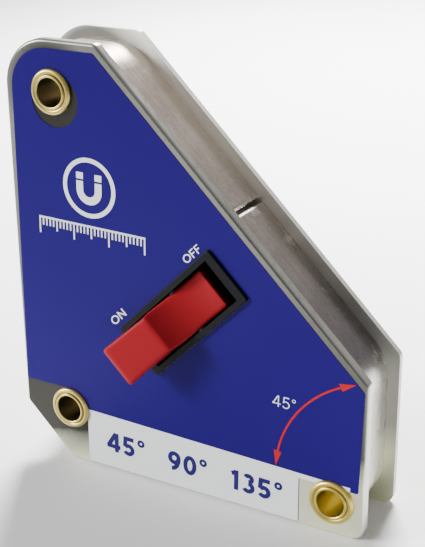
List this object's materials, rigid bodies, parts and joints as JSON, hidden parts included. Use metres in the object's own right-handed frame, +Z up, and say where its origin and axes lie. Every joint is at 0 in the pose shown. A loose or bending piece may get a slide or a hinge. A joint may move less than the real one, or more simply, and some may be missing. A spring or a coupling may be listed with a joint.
{
  "type": "switchable welding magnet",
  "caption": "Flat angular magnetic square for holding steel at 45 and 90 degrees, steel plates round a magnet core, with a rocker that switches it on and off.",
  "frame": {"origin": "middle of the bounding box on the plane of the bottom working edge", "axes": "+Z up from the bottom edge, +X along the bottom edge from the heel to the toe, -Y out of the labelled front face"},
  "size_m": [0.095, 0.0307, 0.109],
  "materials": {
    "plate_steel": "satin nickel plate",
    "band_steel": "bright cold rolled strip",
    "label_film": "satin printed film",
    "brass": "rolled bright",
    "black_plastic": "fine satin",
    "red_plastic": "semi gloss moulded",
    "core_aluminium": "as cast",
    "magnet": "nickel plated",
    "soft_iron": "ground",
    "pin_steel": "black oxide",
    "acetal": "moulded",
    "stop_rubber": "moulded"
  },
  "bodies": {
    "casing": {"front_plate": "plate_steel", "rear_plate": "plate_steel", "front_label": "label_film", "rear_label": "label_film", "casing_band": "band_steel", "core_housing": "core_aluminium", "rocker_bezel": "black_plastic", "pivot_pin": "pin_steel", "on_stop_pad": "stop_rubber", "off_stop_pad": "stop_rubber", "front_keeper_pad": "soft_iron", "rear_keeper_pad": "soft_iron", "upper_guide_rail": "acetal", "lower_guide_rail": "acetal", "left_magnet": "magnet", "left_front_shoe": "soft_iron", "left_rear_shoe": "soft_iron", "base_magnet": "magnet", "base_front_shoe": "soft_iron", "base_rear_shoe": "soft_iron", "upper_slope_magnet": "magnet", "upper_slope_front_shoe": "soft_iron", "upper_slope_rear_shoe": "soft_iron", "lower_slope_magnet": "magnet", "lower_slope_front_shoe": "soft_iron", "lower_slope_rear_shoe": "soft_iron", "eyelet_top": "brass", "spacer_sleeve_top": "pin_steel", "eyelet_heel": "brass", "spacer_sleeve_heel": "pin_steel", "eyelet_toe": "brass", "spacer_sleeve_toe": "pin_steel"},
    "rocker": {"rocker": "red_plastic", "drive_pin": "pin_steel"},
    "keeper": {"keeper_carrier": "acetal", "keeper_block": "soft_iron"}
  },
  "joints": [
    {"name": "rocker_pivot", "type": "hinge", "parent": "casing", "child": "rocker", "pos_m": [0.0003, -0.00395, 0.0478], "axis": [0.7071, 0, -0.7071], "range_deg": [0, 15]},
    {"name": "keeper_slide", "type": "slide", "parent": "casing", "child": "keeper", "axis": [0.7071, 0, 0.7071], "range_m": [0, 0.00235]}
  ],
  "couplings": [
    {"joint": "rocker_pivot", "follows": "keeper_slide", "rad_per_m": 111.45}
  ]
}
